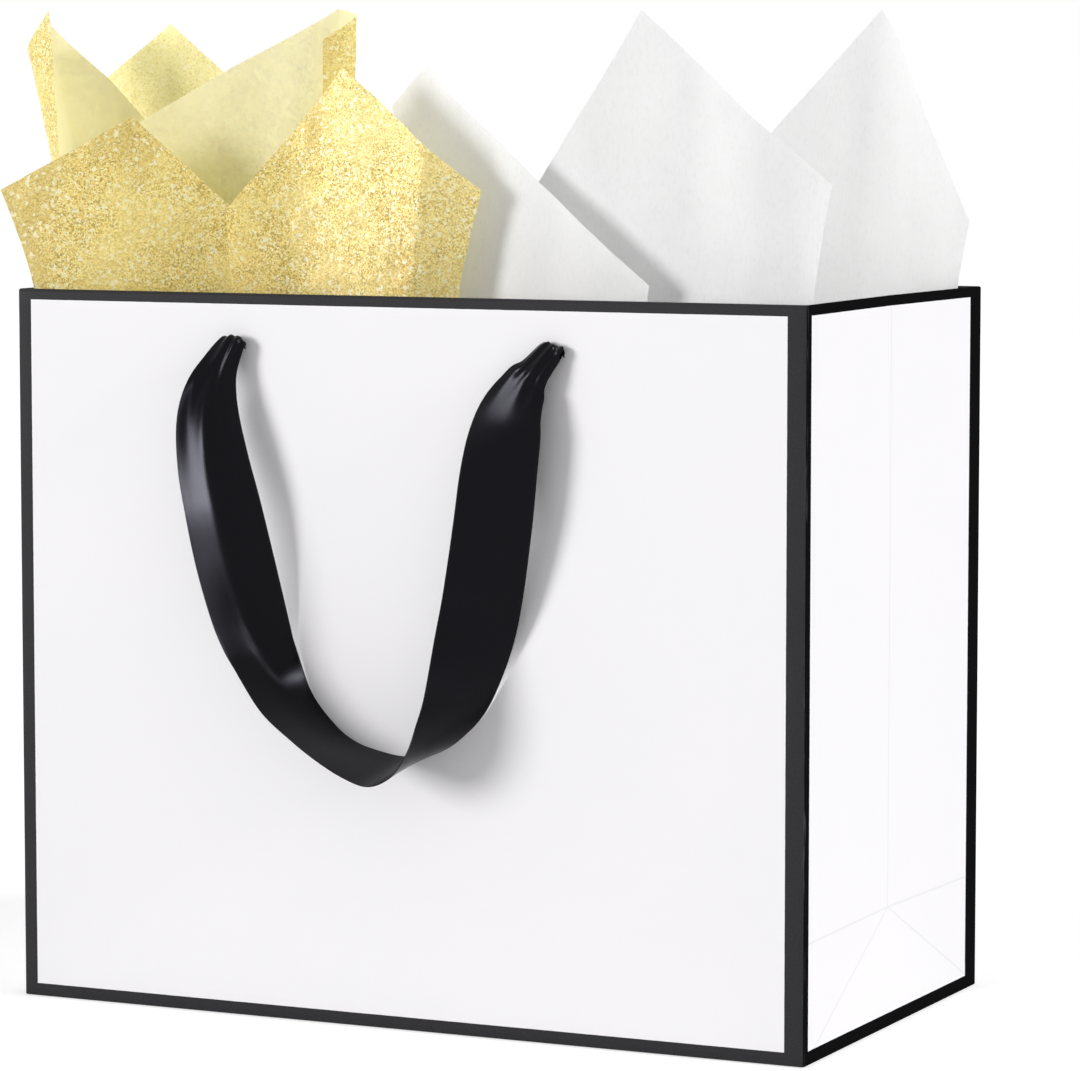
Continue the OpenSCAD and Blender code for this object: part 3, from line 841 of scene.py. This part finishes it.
# A knot: scale of its path across the hem, how far the path runs in and out, the bunched
# ribbon's radius and lobes, and the knot's distance from the hem. KNOT_RUN is the length
# that its ribs are spread over.
KNOT_SPREAD = 1.55 * MM
KNOT_DEPTH = 2.4 * MM
BUNCH_R = 2.0 * MM
LOBES = 5
LOBE_DEPTH = 0.22 * MM
KNOT_OFF = 5 * MM
KNOT_RUN = 90 * MM
KNOT_STEPS = 96
AROUND_STEPS = 24

# A cut tail under its knot: distance from the hem and fall below the hole, in mm, then a
# row of shape as in LOOP. Its end is cut at a slant from CUT_FALL below the hole.
TAIL = [
    (3.0, 2, 0.22, 40, 0),
    (1.6, 9, 0.5, 30, 0),
    (1.0, 18, 0.95, 8, 0),
    (0.8, 32, 1, 4, 0),
]
TAIL_STEPS = 10
CUT_FALL = 24 * MM
CUT_RUN = 8 * MM
CUT_SLANT = 0.5


def knot_path():
    """An overhand knot, flat against the inside of the hem."""
    t = np.linspace(0, 2 * math.pi, KNOT_STEPS, endpoint=False)
    x = (np.sin(t) + 2 * np.sin(2 * t)) * KNOT_SPREAD
    z = (np.cos(t) - 2 * np.cos(2 * t)) * KNOT_SPREAD
    y = -np.sin(3 * t) * KNOT_DEPTH
    return np.stack([x, y, z], 1)


def knot_tube():
    """The surface of a knot around its own middle, closed on itself, with its UVs."""
    path = knot_path()
    along = unit(np.roll(path, -1, 0) - np.roll(path, 1, 0))
    side = unit(np.cross(along, np.array([0.0, 1.0, 0.0])))
    up = np.cross(side, along)
    turn = np.linspace(0, 2 * math.pi, AROUND_STEPS, endpoint=False)
    lobed = BUNCH_R + LOBE_DEPTH * np.cos(LOBES * turn)
    ring = (side[:, None] * (np.cos(turn) * lobed)[None, :, None]
            + up[:, None] * (np.sin(turn) * lobed)[None, :, None])
    tube = path[:, None] + ring
    tube = np.concatenate([tube, tube[:1]], 0)
    run = np.linspace(0, KNOT_RUN, len(tube))
    uv = np.stack(np.broadcast_arrays(turn[None, :] * 2 * MM, run[:, None]), 2)
    return tube, uv


def ribbon_knots(name):
    """The ends of a ribbon inside the bag: a knot behind each hole, with its cut tail."""
    parts = []
    tube, uv = knot_tube()
    inside = -HALF_D + 2 * RIM_R
    cut_from = HOLE_Z - CUT_FALL
    for x in (-HOLE_X, HOLE_X):
        parts.append(grid_piece(name, tube + np.array([x, inside + KNOT_OFF, HOLE_Z]), uv=uv,
                                closed=True, materials=(SATIN,)))
        drop = np.array([(x, inside + row[0] * MM, HOLE_Z - row[1] * MM) for row in TAIL])
        shape = np.array([row[2:] for row in TAIL])
        tail = ribbon(name, drop, np.array([(1.0, 0, 0)] * len(TAIL)), shape, TAIL_STEPS)
        for vertex in tail.data.vertices:
            if vertex.co.z < cut_from:
                reach = (cut_from - vertex.co.z) / CUT_RUN
                vertex.co.z += reach * (vertex.co.x - x) * CUT_SLANT
        parts.append(tail)
    return joined(name, parts)


def joined(name, parts):
    """One piece of satin out of several."""
    work = bmesh.new()
    for part in parts:
        work.from_mesh(part.data)
        bpy.data.objects.remove(part)
    mesh = mesh_from(work, name)
    mesh.materials.append(SATIN)
    return placed(name, mesh)


for side in ("front", "back"):
    loop = ribbon(f"{side}_satin_loop", *loop_rows(), LOOP_STEPS)
    knots = ribbon_knots(f"{side}_satin_knots")
    sign = 1
    if side == "back":
        loop, knots, sign = turned(loop), turned(knots), -1
    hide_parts(f"{side}_ribbon_loop")
    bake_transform(loop)
    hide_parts(f"{side}_ribbon_knots")
    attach(knots, "root")

# ---------------------------------------------------------------- tissue paper

# A sheet is a standing curtain. Each row is one place along it: sideways place and depth
# as shares of the space inside the rim, how far its top leans in X and in Y (mm),
# and its height above the rim as a share of the colour's tallest peak.
SHEETS = {
    "gold_sheet_front_left": [
        (-1, -0.087, -11, -2, 0.35), (-0.86, -0.057, -7, -2, 0.48), (-0.713, -0.027, -4.5, -2, 0.61),
        (-0.56, 0.015, -1, -0.5, 0.36), (-0.426, 0.05, 0, 0, 0.17)],
    "gold_sheet_front_right": [
        (-0.507, 0.006, -1.5, 0, 0.283), (-0.368, 0.026, 0, 0, 0.53), (-0.228, 0.03, 2, 0, 0.783),
        (-0.088, 0.012, 3, 0, 0.61), (-0.02, 0.004, 5.4, -0.8, 0.51), (0.081, 0.049, 9, -2, 0.36)],
    "gold_sheet_back_left": [
        (-0.963, 0.034, -8, -1, 0.99), (-0.996, 0.087, -14.5, -1, 0.85), (-0.97, 0.14, -15, -1, 0.945),
        (-0.868, 0.186, -9, -1, 0.74), (-0.735, 0.216, -4, -1, 0.47)],
    "gold_sheet_back_middle": [
        (-0.94, 0.307, -10, -1, 0.75), (-0.794, 0.307, -5, -1, 0.945), (-0.669, 0.307, -3, -1, 0.78),
        (-0.515, 0.307, -2, -1, 0.576)],
    "gold_sheet_back_right": [
        (-0.794, 0.11, -3, 0, 0.587), (-0.559, 0.14, -1, 0, 0.79), (-0.316, 0.178, 2, 0, 0.99),
        (-0.261, 0.148, 3, 0, 0.967), (-0.309, 0.102, 1, -1, 0.88)],
    "white_sheet_front": [
        (-0.147, 0.193, -2, 0, 0.66), (-0.051, 0.171, -1, -1, 0.79), (0.257, 0.095, 0, -1, 0.41),
        (0.574, 0.015, 1, -0.8, 0.044)],
    "white_sheet_middle": [
        (0.206, 0.186, 0, -1, 0.34), (0.50, 0.125, 2, -1, 0.99), (0.757, 0.064, 2, -1, 0.69),
        (0.996, 0.004, 5.5, 0, 0.396)],
    "white_sheet_side": [
        (0.706, 0.307, 2, 0, 0.495), (0.904, 0.55, 4.5, 2, 0.995), (0.963, 0.7625, 3, 1, 0.60),
        (1.00, 0.96, 3.5, 0, 0.24)],
}

# Gold sheets that show their reverse, and the face and reverse of each sheet that isn't of
# the deeper glitter.
TURNED_OVER = ("gold_sheet_back_left", "gold_sheet_back_right")
PAPERS = {
    "gold_sheet_back_middle": (PALE_GLITTER, GOLD_BACK),
    "white_sheet_front": (TISSUE, TISSUE),
    "white_sheet_middle": (SHADED_TISSUE, SHADED_TISSUE),
    "white_sheet_side": (TISSUE, TISSUE),
}

# Each colour's tallest peak above the rim, the place that its sheets draw in to at their
# feet, and the share of the way that they go.
RISE = {"gold": 92 * MM, "white": 91 * MM}
MIDDLES = {"gold": (-0.53, 0.155), "white": (0.53, 0.27)}
GATHER = 0.25

# The space inside the rim that the shares in SHEETS refer to, and the height of the feet.
TISSUE_HALF_W = 136.1 * MM
TISSUE_FRONT = -60.99 * MM
TISSUE_BACK = 71.3 * MM
TISSUE_FOOT = 3.5 * MM

# Thickness, how late above the rim a sheet leans out, and how far up its foot stays smooth.
TISSUE_T = 0.12 * MM
LEAN_POWER = 1.25
SMOOTH_FOOT = 30 * MM

# How softly a sheet leaves its foot, samples from place to place, and rows below and above
# the rim.
FOOT_EASE = 0.4
SHEET_STEPS = 16
LOWER_ROWS = 22
UPPER_ROWS = 30

# Crumple: size of the waves across and upwards, of the net of creases and of the grain,
# and how far each stands out.
WAVE, WAVE_UP, WAVE_OUT = 20 * MM, 75 * MM, 1.7 * MM
CREASE, CREASE_OUT = 15 * MM, 0.55 * MM
GRAIN, GRAIN_OUT = 5 * MM, 0.12 * MM


def inside_rim(places):
    """Plan of places that are given as shares of the space inside the rim."""
    u, v = np.asarray(places, float).T
    return np.stack([u * TISSUE_HALF_W, TISSUE_FRONT + v * (TISSUE_BACK - TISSUE_FRONT)], 1)


def crumple(points, seed):
    """How far crumpled tissue stands out at each point: soft waves with a net of fine creases."""
    out = np.empty(points.shape[:2])
    shift = Vector((seed * 3.7, seed * 1.3, seed * 2.9))
    for index in np.ndindex(out.shape):
        p = Vector(points[index])
        upright = Vector((p.x / WAVE, p.y / WAVE, p.z / WAVE_UP))
        wave = noise.noise(upright + shift) * WAVE_OUT
        near, far = noise.voronoi(p / CREASE + shift * 2)[0][:2]
        crease = (min(far - near, 0.5) - 0.25) * CREASE_OUT
        out[index] = wave + crease + noise.noise(p / GRAIN + shift) * GRAIN_OUT
    return out


def curtain(table, colour):
    """A smooth sheet that leans out above the rim, and draws in to its colour's middle below.

    Returns its points, its plan at the rim and the height of its top edge."""
    rim = inside_rim(table[:, :2])
    foot = rim + (inside_rim([MIDDLES[colour]]) - rim) * GATHER
    top = rim + table[:, 2:4] * MM
    plans = [(smooth(p, SHEET_STEPS) + straight(p, SHEET_STEPS)) / 2 for p in (foot, rim, top)]
    tall = straight(HEIGHT + table[:, 4:5] * RISE[colour], SHEET_STEPS)[:, 0]
    grid = []
    for k in range(LOWER_ROWS):
        share = k / LOWER_ROWS
        eased = share**2 * (3 - 2 * share) * FOOT_EASE + share * (1 - FOOT_EASE)
        plan = plans[0] + (plans[1] - plans[0]) * eased
        height = np.full(len(plan), TISSUE_FOOT + (HEIGHT - TISSUE_FOOT) * share)
        grid.append(np.column_stack([plan, height]))
    for k in range(UPPER_ROWS + 1):
        share = k / UPPER_ROWS
        plan = plans[1] + (plans[2] - plans[1]) * share**LEAN_POWER
        grid.append(np.column_stack([plan, HEIGHT + (tall - HEIGHT) * share]))
    return np.array(grid), plans[1], tall


def tissue_sheet(name, rows, seed):
    """A crumpled sheet of tissue, which takes the place of its part."""
    colour = name.split("_")[0]
    points, plan, tall = curtain(np.array(rows, float), colour)
    along = unit(np.gradient(plan, axis=0))
    side = np.stack([-along[:, 1], along[:, 0]], 1)
    loose = np.clip((points[:, :, 2] - TISSUE_FOOT) / SMOOTH_FOOT, 0, 1)
    stand_out = crumple(points, seed) * loose
    points[:, :, 0] += side[None, :, 0] * stand_out
    points[:, :, 1] += side[None, :, 1] * stand_out
    materials = PAPERS.get(name, (GLITTER, GOLD_BACK))
    if name in TURNED_OVER:
        points = points[:, ::-1]
    piece = grid_piece(name.replace("_sheet", "_tissue"), points, materials=materials)
    thicken(piece, TISSUE_T, offset=0, reverse=1, edge=0)
    settle(piece, sharp_angle=50)
    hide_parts(name)
    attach(piece, f"{colour}_tissue")


for seed, (name, rows) in enumerate(SHEETS.items(), 1):
    tissue_sheet(name, rows, seed)

# ---------------------------------------------------------------- carried-over pieces and floor

KEPT = {
    "side_seam_flap": CARD_INSIDE,
    "front_bottom_flap": CARD_FRONT,
    "back_bottom_flap": CARD_FRONT,
    "left_bottom_flap": CARD_INSIDE,
    "right_bottom_flap": CARD_INSIDE,
    "front_stiffener": BOARD,
    "back_stiffener": BOARD,
    "base_board": BOARD,
}
for name, material in KEPT.items():
    mesh = nodes[name].data
    mesh.materials.clear()
    mesh.materials.append(material)

FLOOR_HALF = 4.0
FLOOR_DROP = 0.2 * MM
floor_points = np.array([[(x, y, -FLOOR_DROP) for x in (-FLOOR_HALF, FLOOR_HALF)]
                         for y in (-FLOOR_HALF, FLOOR_HALF)])
floor = grid_piece("floor", floor_points,
                   materials=(floor_white("white_floor", tone=0.65, lift=0.56),))
